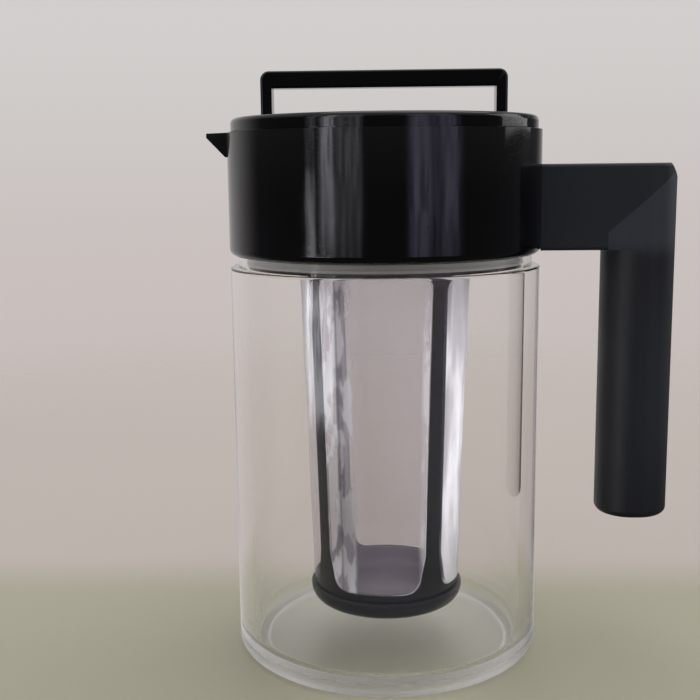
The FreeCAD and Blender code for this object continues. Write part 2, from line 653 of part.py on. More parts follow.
# Plug of the lid: flange, wall, strainer web and the filter's bayonet socket
def make_plug():
    body = new_body("lid_plug")
    groove_low = f"({PLUG_FOOT} + lip_up)"
    groove_top = f"({PLUG_FOOT} + lip_up + lip_tall)"
    snap_groove = f"({PLUG_BORE} + snap_rise)"
    snap_top = f"({SNAP_LOW} + snap_wide)"
    turned(body, "plug", [
        ("0", SOCKET_TOP),
        ("socket_radius", SOCKET_TOP),
        ("socket_radius", PLUG_FOOT),
        (PLUG_RADIUS, PLUG_FOOT),
        (PLUG_RADIUS, groove_low),
        (f"{PLUG_RADIUS} - lip_groove", groove_low),
        (f"{PLUG_RADIUS} - lip_groove", groove_top),
        (PLUG_RADIUS, groove_top),
        (PLUG_RADIUS, FLANGE_LOW),
        (LID_RADIUS, FLANGE_LOW),
        (LID_RADIUS, FLANGE_TOP),
        (PLUG_BORE, FLANGE_TOP),
        (PLUG_BORE, f"{snap_top} + face_gap"),
        (snap_groove, f"{snap_top} + face_gap - snap_rise / 2"),
        (snap_groove, f"{SNAP_LOW} - face_gap + snap_rise / 2"),
        (PLUG_BORE, f"{SNAP_LOW} - face_gap"),
        (PLUG_BORE, WEB_TOP),
        (SOCKET_OUTER, WEB_TOP),
        (SOCKET_OUTER, f"{SOCKET_TOP} + web_thick"),
        ("0", f"{SOCKET_TOP} + web_thick"),
    ])
    shelf = turned(body, "shelf", [
        (f"{RING_RADIUS} + run_gap", PLUG_FOOT),
        ("socket_radius + socket_wall / 2", PLUG_FOOT),
        ("socket_radius + socket_wall / 2", WEB_TOP),
        (f"{RING_RADIUS} + run_gap", WEB_TOP),
    ], angle="shelf_angle")
    polar(body, "shelves", shelf, "3")
    port = outline(body, "port_plan", "XY_Plane",
                   box_plan(f"-{PORT_RADIUS} - port_wall", f"-{PLUG_BORE} + 2 * plug_wall", "port_half"),
                   rise=f"{FLANGE_TOP} + overcut")
    raised(body, "port", port, "port_tall + overcut", kind="Pocket")
    slot = outline(body, "slot_plan", "XY_Plane",
                   box_plan(f"{SOCKET_OUTER} + slot_rim", f"{PLUG_BORE} - slot_rim", "slot_wide / 2"),
                   rise=f"{WEB_TOP} + overcut")
    slot_cut = raised(body, "slot", slot, "web_thick + 2 * overcut", kind="Pocket")
    polar(body, "slots", slot_cut, "slot_count")


# Lip gasket round the foot of the plug
def make_plug_gasket():
    body = new_body("plug_gasket")
    inner = f"({PLUG_RADIUS} - lip_groove)"
    outer = f"({PLUG_RADIUS} + fit_gap)"
    lip = "(bore_radius - face_gap)"
    low = f"({PLUG_FOOT} + lip_up)"
    step = "lip_tall / 6"
    turned(body, "lips", [
        (inner, low),
        (outer, low),
        (lip, f"{low} + {step}"),
        (outer, f"{low} + 2 * {step}"),
        (outer, f"{low} + 3 * {step}"),
        (lip, f"{low} + 4 * {step}"),
        (outer, f"{low} + 5 * {step}"),
        (outer, f"{low} + lip_tall"),
        (inner, f"{low} + lip_tall"),
    ])


# Top shell of the lid, with its raised rim, its well, and the ears for the bail's pins
def make_cap():
    body = new_body("lid_cap")
    turned(body, "cap", [
        ("0", LINER_TOP),
        (LID_RADIUS, LINER_TOP),
        (LID_RADIUS, CAP_LOW),
        (CAP_RADIUS, CAP_LOW),
        (CAP_RADIUS, CAP_TOP),
        (WELL_RADIUS, CAP_TOP),
        (WELL_RADIUS, WELL_FLOOR),
        ("0", WELL_FLOOR),
    ])
    rounded(body, "cap_edge", "cap_round", ring_edge(amount_of(CAP_RADIUS), amount_of(CAP_TOP)))
    rounded(body, "well_edges", "edge_round", ring_edge(amount_of(WELL_RADIUS), amount_of(CAP_TOP)),
            ring_edge(amount_of(WELL_RADIUS), amount_of(WELL_FLOOR)))
    cut_passage(body, f"{LINER_TOP} - overcut", f"{COLLAR_TOP} - cap_floor")
    ear = outline(body, "ear_plan", "XY_Plane",
                  box_plan(f"{BAIL_HALF} + run_gap", f"{WELL_RADIUS} + port_wall / 2", "ear_half"),
                  rise=f"{WELL_FLOOR} - cap_floor / 2")
    ear_pad = raised(body, "ear", ear, f"{PIN_HEIGHT} + ear_over - {WELL_FLOOR} + cap_floor / 2")
    polar(body, "ears", ear_pad, "2")
    hole = circle(body, "pin_hole_plan", "YZ_Plane", "pin_radius + fit_gap / 2", ("0", PIN_HEIGHT))
    raised(body, "pin_holes", hole, f"2 * ({pin_start()} + pin_long + fit_gap)", kind="Pocket",
           symmetric=True)


def pin_start():
    """The inner end of a bail pin, measured from the axis."""
    return f"({BAIL_HALF} - bail_leg - run_gap)"


def cut_passage(body, low, top):
    """Cut the pouring passage into the lid, on the spout's side."""
    turned(body, body.Label + "_passage", [
        (f"-{PORT_RADIUS}", low),
        (f"-{LID_RADIUS} - overcut", low),
        (f"-{LID_RADIUS} - overcut", top),
        (f"-{PORT_RADIUS}", top),
    ], kind="Groove", angle="port_angle")


# Under shell of the lid, with the snap skirt that turns inside the plug
def make_liner():
    body = new_body("cap_liner")
    snap_top = f"({SNAP_LOW} + snap_wide)"
    bead = f"({SKIRT_RADIUS} + snap_rise)"
    turned(body, "liner", [
        ("0", LINER_LOW),
        (f"{SKIRT_RADIUS} - skirt_wall", LINER_LOW),
        (f"{SKIRT_RADIUS} - skirt_wall", SKIRT_LOW),
        (SKIRT_RADIUS, SKIRT_LOW),
        (SKIRT_RADIUS, SNAP_LOW),
        (bead, f"{SNAP_LOW} + snap_rise / 2"),
        (bead, f"{snap_top} - snap_rise / 2"),
        (SKIRT_RADIUS, snap_top),
        (SKIRT_RADIUS, LINER_LOW),
        (LID_RADIUS, LINER_LOW),
        (LID_RADIUS, LINER_TOP),
        ("0", LINER_TOP),
    ])
    cut_passage(body, f"{LINER_LOW} - overcut", f"{LINER_TOP} + overcut")
    window = outline(body, "window_plan", "XY_Plane",
                     box_plan(f"-{SKIRT_RADIUS} - overcut", f"-{SKIRT_RADIUS} + 2 * skirt_wall", "port_half"),
                     rise=LINER_LOW)
    raised(body, "window", window, "skirt_tall + overcut", kind="Pocket")


# Two pins that carry the bail
def make_pins():
    parts = []
    for number, side in enumerate((1, -1), 1):
        pin = DOC.addObject("Part::Cylinder", f"bail_pin_{number}")
        pin.setExpression("Radius", formula("pin_radius"))
        pin.setExpression("Height", formula("pin_long"))
        pin.Placement.Rotation = FreeCAD.Rotation(FreeCAD.Vector(0, 1, 0), 90 * side)
        pin.setExpression("Placement.Base.x", formula(f"{side} * {pin_start()}"))
        pin.setExpression("Placement.Base.z", formula(PIN_HEIGHT))
        parts.append(pin)
    grouped("bail_pins", parts)


# Standing bail
def make_bail():
    body = new_body("bail_handle")
    foot = f"({PIN_HEIGHT} - bail_deep / 2)"
    under = f"({BAIL_TOP} - bail_bar)"
    inner = f"({BAIL_HALF} - bail_leg)"
    front = outline(body, "bail_front", "XZ_Plane", [
        (f"-{BAIL_HALF}", foot),
        (f"-{inner}", foot),
        (f"-{inner}", under),
        (inner, under),
        (inner, foot),
        (BAIL_HALF, foot),
        (BAIL_HALF, BAIL_TOP),
        (f"-{BAIL_HALF}", BAIL_TOP),
    ])
    raised(body, "bail", front, "bail_deep", symmetric=True)
    half = amount_of("bail_deep") / 2
    rounded(body, "bail_corners", "bail_round", along_y(amount_of(BAIL_HALF), amount_of(BAIL_TOP)))
    rounded(body, "leg_ends", "bail_deep / 2 - fit_gap", along_x(half, amount_of(foot)))
    rounded(body, "bar_edges", "edge_round", along_x(half, amount_of(BAIL_TOP)),
            along_x(half, amount_of(under)))
    hole = circle(body, "pivot_plan", "YZ_Plane", "pin_radius + pin_gap", ("0", PIN_HEIGHT))
    raised(body, "pivots", hole, f"2 * ({BAIL_HALF} + overcut)", kind="Pocket", symmetric=True)


# Bayonet ring at the top of the filter
def make_filter_ring():
    body = new_body("filter_ring")
    bore = f"({SPIGOT_RADIUS} + fit_gap)"
    step = f"({CAGE_TOP} + ring_drop / 2)"
    turned(body, "ring", [
        (bore, CAGE_TOP),
        (FILTER_RADIUS, CAGE_TOP),
        (RING_RADIUS, step),
        (RING_RADIUS, RING_TOP),
        (bore, RING_TOP),
    ])
    lug = turned(body, "lug", [
        (f"{RING_RADIUS} - ring_lug / 2", LUG_LOW),
        (f"{RING_RADIUS} + ring_lug", LUG_LOW),
        (f"{RING_RADIUS} + ring_lug", f"{LUG_LOW} + lug_tall"),
        (f"{RING_RADIUS} - ring_lug / 2", f"{LUG_LOW} + lug_tall"),
    ], angle="lug_angle")
    polar(body, "lugs", lug, "3")


def window_half(radius):
    """Half the width of a window where the ribs stand at this radius."""
    return f"{radius} * sin(45 deg - asin(rib_half / {radius}))"


def turn_filter(body):
    """Turn a piece of the filter with its windows."""
    body.setExpression("Placement.Rotation.Angle", formula("rib_turn * 1 deg"))


# Filter cage: four ribs that run down into a solid round cup
def make_cage():
    body = new_body("filter_cage")
    inner_low = f"({CUP_NECK} - rib_thick)"
    turned(body, "cage", [
        ("0", CUP_LOW),
        (CUP_RADIUS, CUP_LOW),
        (CUP_RADIUS, CUP_TOP),
        (f"{CUP_NECK} - mesh_thick - fit_gap", CUP_TOP),
        (f"{FILTER_RADIUS} - mesh_thick - fit_gap", CAGE_TOP),
        (SPIGOT_RADIUS, CAGE_TOP),
        (SPIGOT_RADIUS, f"{CAGE_TOP} + spigot_tall"),
        (FILTER_BORE, f"{CAGE_TOP} + spigot_tall"),
        (FILTER_BORE, CAGE_TOP),
        (inner_low, CUP_TOP),
        (inner_low, f"{CUP_LOW} + cup_floor"),
        ("0", f"{CUP_LOW} + cup_floor"),
    ])
    rounded(body, "cup_edge", "cup_round", ring_edge(amount_of(CUP_RADIUS), amount_of(CUP_LOW)))
    rounded(body, "cup_rim", "edge_round", ring_edge(amount_of(CUP_RADIUS), amount_of(CUP_TOP)))
    rounded(body, "cup_corner", "cup_round - cup_floor",
            ring_edge(amount_of(inner_low), amount_of(f"{CUP_LOW} + cup_floor")))
    low = f"({CUP_TOP} + window_sill)"
    top = f"({CAGE_TOP} - band_tall)"
    half_low = window_half(CUP_NECK)
    half_top = window_half(FILTER_RADIUS)
    window = outline(body, "window_outline", "YZ_Plane", [
        (f"flare_wide - {half_low}", low),
        (f"{half_low} - flare_wide", low),
        (half_low, f"{low} + flare_tall"),
        (half_top, top),
        (f"-({half_top})", top),
        (f"-({half_low})", f"{low} + flare_tall"),
    ])
    cut = raised(body, "window", window, f"{FILTER_RADIUS} + overcut", kind="Pocket", back=True)
    polar(body, "windows", cut, "4")
    rounded(body, "window_feet", "1.5 * rib_half", window_corner(amount_of(low)))
    rounded(body, "window_heads", "rib_half", window_corner(amount_of(top)))
    turn_filter(body)


def window_corner(height):
    """A test for a short straight edge through the cage's wall, at this height."""
    def wanted(edge):
        box = edge.BoundBox
        straight = min(box.XLength, box.YLength) < 0.05
        return level(edge, height) and straight and 1 < edge.Length < 8
    return wanted


# Fine mesh: one tapering sleeve round the ribs, from the cup to the ring
def make_mesh():
    body = new_body("filter_mesh")
    turned(body, "sleeve", [
        (f"{CUP_NECK} - mesh_thick", CUP_TOP),
        (CUP_NECK, CUP_TOP),
        (FILTER_RADIUS, CAGE_TOP),
        (f"{FILTER_RADIUS} - mesh_thick", CAGE_TOP),
    ])


MAKERS = [make_pitcher, make_flat_gaskets, make_collar, make_inserts, make_screws, make_arm, make_grip,
          make_plug, make_plug_gasket, make_cap, make_liner, make_pins, make_bail,
          make_filter_ring, make_cage, make_mesh]

NODES = ["pitcher_body", "neck_gasket", "handle_collar", "handle_inserts", "handle_arm", "grip_sleeve",
         "handle_screws", "lid_plug", "plug_gasket", "flange_gasket", "lid_cap", "cap_liner", "bail_pins",
         "bail_handle", "filter_ring", "filter_cage", "filter_gasket", "filter_mesh"]


def check_document():
    """Stop if any object failed, or if a sub-part has no valid solid."""
    for item in DOC.Objects:
        if "Invalid" in item.State or "Error" in item.State:
            raise ValueError(f"{item.Name} failed: {item.State}")
    for label in NODES:
        shape = DOC.getObject(label).Shape
        if shape.isNull() or not shape.isValid() or not shape.Solids:
            raise ValueError(f"{label} has no valid solid")


def write_parts():
    os.makedirs("parts", exist_ok=True)
    for label in NODES:
        DOC.getObject(label).Shape.exportStep(f"parts/{label}.step")


fill_sheet()
for make in MAKERS:
    make()
WORKED.clear("A1")
DOC.recompute()
check_document()
write_parts()
for label in NODES:
    solid = DOC.getObject(label).Shape
    print(f"{label}: {len(solid.Solids)} solids, {solid.Volume:.1f} mm3")
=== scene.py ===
import math

import bmesh
import bpy
from mathutils import Matrix, Vector, noise


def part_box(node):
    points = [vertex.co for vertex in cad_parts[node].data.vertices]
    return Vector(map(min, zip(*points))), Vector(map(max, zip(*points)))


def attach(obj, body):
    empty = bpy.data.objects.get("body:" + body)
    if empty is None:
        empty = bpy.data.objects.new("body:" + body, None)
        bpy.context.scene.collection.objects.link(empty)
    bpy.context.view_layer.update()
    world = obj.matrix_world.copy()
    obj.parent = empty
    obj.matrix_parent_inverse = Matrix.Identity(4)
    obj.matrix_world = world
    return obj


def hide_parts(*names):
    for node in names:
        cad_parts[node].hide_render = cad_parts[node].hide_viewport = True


MM = 0.001

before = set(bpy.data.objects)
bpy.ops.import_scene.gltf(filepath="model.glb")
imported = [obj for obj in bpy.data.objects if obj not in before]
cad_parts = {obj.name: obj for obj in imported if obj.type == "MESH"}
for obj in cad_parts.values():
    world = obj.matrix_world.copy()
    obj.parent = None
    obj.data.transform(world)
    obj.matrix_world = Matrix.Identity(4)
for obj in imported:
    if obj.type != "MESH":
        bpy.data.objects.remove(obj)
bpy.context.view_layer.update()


# Node helpers

def add_node(tree, kind, settings=None, **inputs):
    node = tree.nodes.new("ShaderNode" + kind)
    for name, value in (settings or {}).items():
        setattr(node, name, value)
    for name, value in inputs.items():
        feed(tree, node.inputs[name.replace("_", " ")], value)
    return node


def feed(tree, socket, value):
    """Link a socket to an output, or set it to a number or colour."""
    if isinstance(value, bpy.types.NodeSocket):
        tree.links.new(value, socket)
    else:
        socket.default_value = value


def calc(tree, operation, first, second=None, third=None):
    node = tree.nodes.new("ShaderNodeMath")
    node.operation = operation
    for socket, value in zip(node.inputs, (first, second, third)):
        if value is not None:
            feed(tree, socket, value)
    return node.outputs[0]


def spread(tree, value, low, high, to_low, to_high):
    """Map a value's range to another, smoothly and without going past it."""
    node = tree.nodes.new("ShaderNodeMapRange")
    node.interpolation_type = "SMOOTHSTEP"
    for socket, amount in zip(node.inputs, (value, low, high, to_low, to_high)):
        feed(tree, socket, amount)
    return node.outputs[0]


def blended(tree, share, first, second):
    node = tree.nodes.new("ShaderNodeMix")
    node.data_type = "RGBA"
    feed(tree, node.inputs["Factor"], share)
    feed(tree, node.inputs["A"], first)
    feed(tree, node.inputs["B"], second)
    return node.outputs["Result"]


def cloud(tree, place, scale, detail=3.0, roughness=0.5):
    node = add_node(tree, "TexNoise", None, Vector=place, Scale=scale, Detail=detail, Roughness=roughness)
    return node.outputs["Fac"]


def place_of(tree, stretch=None):
    """The place on the piece in metres, which moves with the piece."""
    place = tree.nodes.new("ShaderNodeTexCoord").outputs["Object"]
    if stretch:
        mapping = add_node(tree, "Mapping", None, Vector=place, Scale=stretch)
        place = mapping.outputs[0]
    return place


def bumped(tree, height, distance, strength=1.0, below=None):
    node = add_node(tree, "Bump", None, Height=height, Distance=distance, Strength=strength)
    if below is not None:
        tree.links.new(below, node.inputs["Normal"])
    return node.outputs[0]


def new_material(name):
    material = bpy.data.materials.new(name)
    material.use_nodes = True
    tree = material.node_tree
    return material, tree, tree.nodes["Principled BSDF"]


def gloss_plastic(name, colour, shine, wave, level=0.5, inner=None):
    """Polished moulding: faint flow in the surface, soft smears, hair scratches, and convex edges painted
    lighter grey, a painted edge highlight as well as rubbed wear.

    Inner, if any, is the colour of the faces that look at the axis, inside a cone given by its radius at
    the table and how much it widens with height, and above a floor.
    """
    material, tree, shader = new_material(name)
    place = place_of(tree)
    flow = cloud(tree, place, 26, 2)
    smear = spread(tree, cloud(tree, place, 38, 4), 0.42, 0.72, 0, 1)
    hair = spread(tree, cloud(tree, place_of(tree, (1, 1, 14)), 420, 2), 0.6, 0.75, 0, 1)
    dust = spread(tree, cloud(tree, place, 1900, 2), 0.68, 0.76, 0, 1)
    edge = spread(tree, add_node(tree, "NewGeometry").outputs["Pointiness"], 0.56, 0.64, 0, 1)
    tint = blended(tree, calc(tree, "MULTIPLY", smear, 0.35), (*colour, 1), (*[v * 1.5 for v in colour], 1))
    # Convex edges are painted lighter grey: a painted edge highlight, as well as rubbed wear
    tint = blended(tree, calc(tree, "MULTIPLY", edge, 0.25), tint, (0.05, 0.05, 0.052, 1))
    tint = blended(tree, calc(tree, "MULTIPLY", dust, 0.01), tint, (0.5, 0.48, 0.45, 1))
    if inner:
        shade, radius, widening, floor = inner
        flat = add_node(tree, "VectorMath", {"operation": "LENGTH"}, Vector=place_of(tree, (1, 1, 0)))
        height = add_node(tree, "SeparateXYZ", None, Vector=place).outputs["Z"]
        cone = calc(tree, "MULTIPLY_ADD", height, -widening, flat.outputs["Value"])
        inside = calc(tree, "MULTIPLY", spread(tree, cone, radius, radius + 0.3 * MM, 1, 0),
                      spread(tree, height, floor, floor + 0.5 * MM, 0, 1))
        inside = calc(tree, "MULTIPLY", inside, calc(tree, "MULTIPLY_ADD", flow, 0.4, 0.7))
        tint = blended(tree, inside, tint, (*shade, 1))
    feed(tree, shader.inputs["Base Color"], tint)
    rough = calc(tree, "MULTIPLY_ADD", smear, 0.06, shine)
    rough = calc(tree, "MULTIPLY_ADD", hair, 0.04, rough)
    feed(tree, shader.inputs["Roughness"], rough)
    normal = bumped(tree, flow, wave)
    feed(tree, shader.inputs["Normal"], bumped(tree, hair, 0.000004, 0.4, normal))
    shader.inputs["Specular IOR Level"].default_value = level
    return material


def fine_texture(name, colour, lighter, shine, grain, depth, sheen=0.0, lit_top=None):
    """Spark-textured moulding or silicone, with a fine even grain and slightly polished high spots.

    The last argument, if any, is a lighter colour painted on above a height, a painted highlight for light
    falling on the piece's upper end, with the two heights between which it comes in.
    """
    material, tree, shader = new_material(name)
    place = place_of(tree)
    cells = add_node(tree, "TexVoronoi", {"feature": "SMOOTH_F1"}, Vector=place, Scale=grain)
    pits = cells.outputs["Distance"]
    speckle = cloud(tree, place, grain * 1.7, 3, 0.6)
    broad = cloud(tree, place, 30, 3)
    handled = spread(tree, cloud(tree, place, 55, 5, 0.6), 0.45, 0.7, 0, 1)
    tint = blended(tree, broad, (*colour, 1), (*lighter, 1))
    tint = blended(tree, calc(tree, "MULTIPLY", pits, 0.35), tint, (*[v * 1.9 for v in lighter], 1))
    # Painted highlight: above a height the piece is painted a lighter colour, for light falling on its upper end
    if lit_top:
        height = add_node(tree, "SeparateXYZ", None, Vector=place).outputs["Z"]
        tint = blended(tree, spread(tree, height, lit_top[1], lit_top[2], 0, 1), tint, (*lit_top[0], 1))
    feed(tree, shader.inputs["Base Color"], tint)
    rough = calc(tree, "MULTIPLY_ADD", speckle, 0.12, shine)
    feed(tree, shader.inputs["Roughness"], calc(tree, "MULTIPLY_ADD", handled, -0.06, rough))
    normal = bumped(tree, pits, depth, 0.6)
    feed(tree, shader.inputs["Normal"], bumped(tree, speckle, depth * 0.7, 0.5, normal))
    shader.inputs["Sheen Weight"].default_value = sheen
    shader.inputs["Sheen Roughness"].default_value = 0.4
    return material


def clear_plastic(name):
    """Clear moulding: faint flow ripples, hair scratches from washing, and light passes to what is inside."""
    material, tree, shader = new_material(name)
    place = place_of(tree)
    ripple = cloud(tree, place_of(tree, (1, 1, 0.25)), 34, 2)
    hair = spread(tree, cloud(tree, place_of(tree, (1, 1, 9)), 260, 3), 0.62, 0.78, 0, 1)
    film = spread(tree, cloud(tree, place, 22, 4), 0.4, 0.8, 0, 1)
    height = add_node(tree, "SeparateXYZ", None, Vector=place).outputs["Z"]
    scuffed = spread(tree, height, 0.004, 0.009, 0.34, 0)
    rough = calc(tree, "ADD", calc(tree, "MULTIPLY_ADD", film, 0.02, 0.012), scuffed)
    feed(tree, shader.inputs["Roughness"], calc(tree, "MULTIPLY_ADD", hair, 0.03, rough))
    feed(tree, shader.inputs["Normal"], bumped(tree, ripple, 0.00012, 0.5))
    shader.inputs["Base Color"].default_value = (0.985, 0.985, 0.98, 1)
    shader.inputs["Transmission Weight"].default_value = 1
    shader.inputs["IOR"].default_value = 1.38
    through = add_node(tree, "BsdfTransparent", None, Color=(0.965, 0.965, 0.96, 1))
    path = tree.nodes.new("ShaderNodeLightPath")
    mixed = add_node(tree, "MixShader", None, Fac=path.outputs["Is Shadow Ray"])
    tree.links.new(shader.outputs[0], mixed.inputs[1])
    tree.links.new(through.outputs[0], mixed.inputs[2])
    tree.links.new(mixed.outputs[0], tree.nodes["Material Output"].inputs["Surface"])
    return material


def turned_metal(name, colour, shine):
    material, tree, shader = new_material(name)
    rings = cloud(tree, place_of(tree, (1, 1, 12)), 900, 2)
    stain = cloud(tree, place_of(tree), 300, 4)
    feed(tree, shader.inputs["Base Color"], blended(tree, stain, (*colour, 1), (*[v * 0.7 for v in colour], 1)))
    feed(tree, shader.inputs["Roughness"], calc(tree, "MULTIPLY_ADD", rings, 0.2, shine))
    feed(tree, shader.inputs["Normal"], bumped(tree, rings, 0.00002, 0.5))
    shader.inputs["Metallic"].default_value = 1
    return material


THREAD_PITCH = 0.2 * MM


MESH_GLARE_STRIPES = [
    # From and to these angles from the front towards +X in degrees, and how strongly the weave shuts there and
    # its colour is painted near white, a painted glare
    (-52, -34, 0.78),
    (-34, -22, 0.6),
    (25, 33, 0.45),
]


def painted_glare_stripes(tree, where):
    """Upright stripes of painted glare beside the ribs: the weave shuts there and its colour is painted near
    white.
    """
    turn = calc(tree, "ARCTAN2", where.outputs["X"], calc(tree, "MULTIPLY", where.outputs["Y"], -1))
    total = 0
    for low, high, strength in MESH_GLARE_STRIPES:
        share = strength
        for edge, before in ((low, 0), (high, 1)):
            step = spread(tree, turn, math.radians(edge - 2), math.radians(edge + 2), before, 1 - before)
            share = calc(tree, "MULTIPLY", step, share)
        total = calc(tree, "MAXIMUM", share, total)
    return total


def woven_mesh(name):
    """Fine square weave of pale filament: open when seen squarely, shut and silky when seen at a slant, where
    its colour is also painted near white as a painted glare.
    """
    material, tree, shader = new_material(name)
    parts = add_node(tree, "SeparateXYZ", None, Vector=add_node(tree, "UVMap", {"uv_map": "Weave"}).outputs[0])
    waves = []
    for axis in "XY":
        turns = calc(tree, "MULTIPLY", parts.outputs[axis], 2 * math.pi / THREAD_PITCH)
        waves.append(calc(tree, "MULTIPLY_ADD", calc(tree, "SINE", turns), 0.5, 0.5))
    thread = calc(tree, "MAXIMUM", waves[0], waves[1])
    place = place_of(tree)
    where = add_node(tree, "SeparateXYZ", None, Vector=place)
    uneven = cloud(tree, place, 90, 3)
    stain = spread(tree, cloud(tree, place_of(tree, (1, 1, 0.3)), 70, 4), 0.42, 0.66, 0, 1)
    slant = add_node(tree, "LayerWeight", None, Blend=0.5).outputs["Facing"]
    # Where the painted glare at a slant comes in: all over the +X side, and on the -X side only above 80 to 100
    # mm
    glare_area = calc(tree, "MAXIMUM", spread(tree, where.outputs["X"], -0.004, 0.01, 0, 1),
               spread(tree, where.outputs["Z"], 0.080, 0.100, 0.1, 1))
    closure_and_glare = calc(tree, "MULTIPLY", spread(tree, slant, 0.16, 0.46, 0, 1), glare_area)
    closure_and_glare = calc(tree, "MULTIPLY", closure_and_glare, calc(tree, "MULTIPLY_ADD", stain, 0.45, 0.55))
    cover = calc(tree, "MULTIPLY_ADD", spread(tree, thread, 0.6, 1.0, 0, 1), 0.42, 0.02)
    blot = spread(tree, cloud(tree, place_of(tree, (1, 1, 0.4)), 190, 3), 0.44, 0.57, 0, 1)
    stripe_glare = calc(tree, "MULTIPLY", painted_glare_stripes(tree, where), calc(tree, "MULTIPLY_ADD", blot, 0.7, 0.5))
    closure_and_glare = calc(tree, "MAXIMUM", closure_and_glare, stripe_glare)
    cover = calc(tree, "ADD", cover, calc(tree, "MULTIPLY", closure_and_glare, calc(tree, "SUBTRACT", 0.97, cover)))
    # Painted glare: where the weave shuts, at a slant and in the stripes beside the ribs, the colour goes from
    # dark violet to near white
    tint = blended(tree, closure_and_glare, (0.235, 0.19, 0.265, 1), (0.80, 0.80, 0.88, 1))
    feed(tree, shader.inputs["Base Color"],
         blended(tree, calc(tree, "MULTIPLY", stain, 0.12), tint, (0.30, 0.26, 0.26, 1)))
    feed(tree, shader.inputs["Roughness"], calc(tree, "MULTIPLY_ADD", uneven, 0.2, 0.25))
    feed(tree, shader.inputs["Alpha"], cover)
    feed(tree, shader.inputs["Normal"], bumped(tree, thread, 0.00003, 0.4))
    shader.inputs["Sheen Weight"].default_value = 0.9
    shader.inputs["Sheen Roughness"].default_value = 0.3
    shader.inputs["Sheen Tint"].default_value = (0.93, 0.94, 1, 1)
    return material


GLOSS = gloss_plastic("gloss_black", (0.0010, 0.0009, 0.0011), 0.05, 0.0003)
SATIN = gloss_plastic("satin_black", (0.006, 0.0052, 0.0058), 0.2, 0.0002)
CAGE = gloss_plastic("cage_black", (0.0050, 0.0055, 0.0115), 0.2, 0.0002, 0.3,
                     ((0.24, 0.215, 0.255), 23.1 * MM, 0.0325, 16.6 * MM))
MATTE = fine_texture("matte_dark", (0.0062, 0.0098, 0.0125), (0.0088, 0.0132, 0.0168), 0.42, 2600, 0.00006)
# The grip's flat mitred upper face, from 138 to 146 mm up, is painted lighter bluish: a painted highlight
SOFT = fine_texture("soft_grip", (0.0042, 0.0053, 0.0070), (0.0062, 0.0073, 0.0095), 0.46, 3400, 0.00004, 0.03,
                    ((0.028, 0.032, 0.048), 0.138, 0.146))
SEAL = fine_texture("seal", (0.30, 0.30, 0.31), (0.36, 0.36, 0.37), 0.38, 2200, 0.00002)
CLEAR = clear_plastic("clear_body")
STEEL = turned_metal("steel", (0.55, 0.55, 0.56), 0.22)
BRASS = turned_metal("brass", (0.72, 0.52, 0.22), 0.25)
MESH = woven_mesh("mesh")

LOOKS = {
    "pitcher_body": CLEAR, "neck_gasket": SEAL, "handle_collar": GLOSS, "handle_inserts": BRASS,
    "handle_arm": MATTE, "grip_sleeve": SOFT, "handle_screws": STEEL, "lid_plug": GLOSS,
    "plug_gasket": SEAL, "flange_gasket": SEAL, "lid_cap": GLOSS, "cap_liner": GLOSS,
    "bail_pins": STEEL, "bail_handle": GLOSS, "filter_ring": SATIN, "filter_cage": CAGE,
    "filter_gasket": SEAL, "filter_mesh": MESH,
}
for node, material in LOOKS.items():
    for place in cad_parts[node].material_slots:
        place.material = material


def new_piece(name, shape, body, slot, material, *nodes):
    """Make an object of a bmesh that rides on a body and stands for some CAD nodes."""
    data = bpy.data.meshes.new(name)
    shape.to_mesh(data)
    shape.free()
    for face in data.polygons:
        face.use_smooth = True
    piece = bpy.data.objects.new(name, data)
    bpy.context.scene.collection.objects.link(piece)
    data.materials.append(material)
    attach(piece, body)
    if nodes:
        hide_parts(*nodes)
    return piece


# Mesh of the filter: one sleeve that is moulded into the ribs and sags a little inward in the windows
MESH_STEPS_ROUND = 540
MESH_STEPS_UP = 220
MESH_SLACK = 0.8 * MM
MESH_INSET = 0.12 * MM
MESH_DIVE = 1 * MM
MESH_RADIUS_LOW = 26.5 * MM
MESH_RADIUS_TOP = 30.2 * MM
RIB_TURN = math.radians(-8)
RIB_HALF = 3 * MM
WINDOW_SILL = 2.4 * MM
WINDOW_BAND = 2 * MM
WINDOW_CORNER = 4.5 * MM
WINDOW_LAP = 0.3 * MM
FLARE_TALL = 13 * MM
FLARE_WIDE = 2.9 * MM


def inside_window(angle, above_low, below_top, radius):
    """How far a spot of the mesh lies inside the nearest window's outline, less than zero when outside."""
    turned = (angle - RIB_TURN + math.pi / 4) % (math.pi / 2) - math.pi / 4
    half = radius * (math.pi / 4 - math.asin(RIB_HALF / radius))
    half -= FLARE_WIDE * max(0, 1 - (above_low - WINDOW_SILL) / FLARE_TALL)
    side = half - radius * abs(turned)
    end = min(above_low - WINDOW_SILL, below_top - WINDOW_BAND)
    if side < WINDOW_CORNER and end < WINDOW_CORNER:
        return WINDOW_CORNER - math.hypot(WINDOW_CORNER - side, WINDOW_CORNER - end) - WINDOW_LAP
    return min(side, end) - WINDOW_LAP


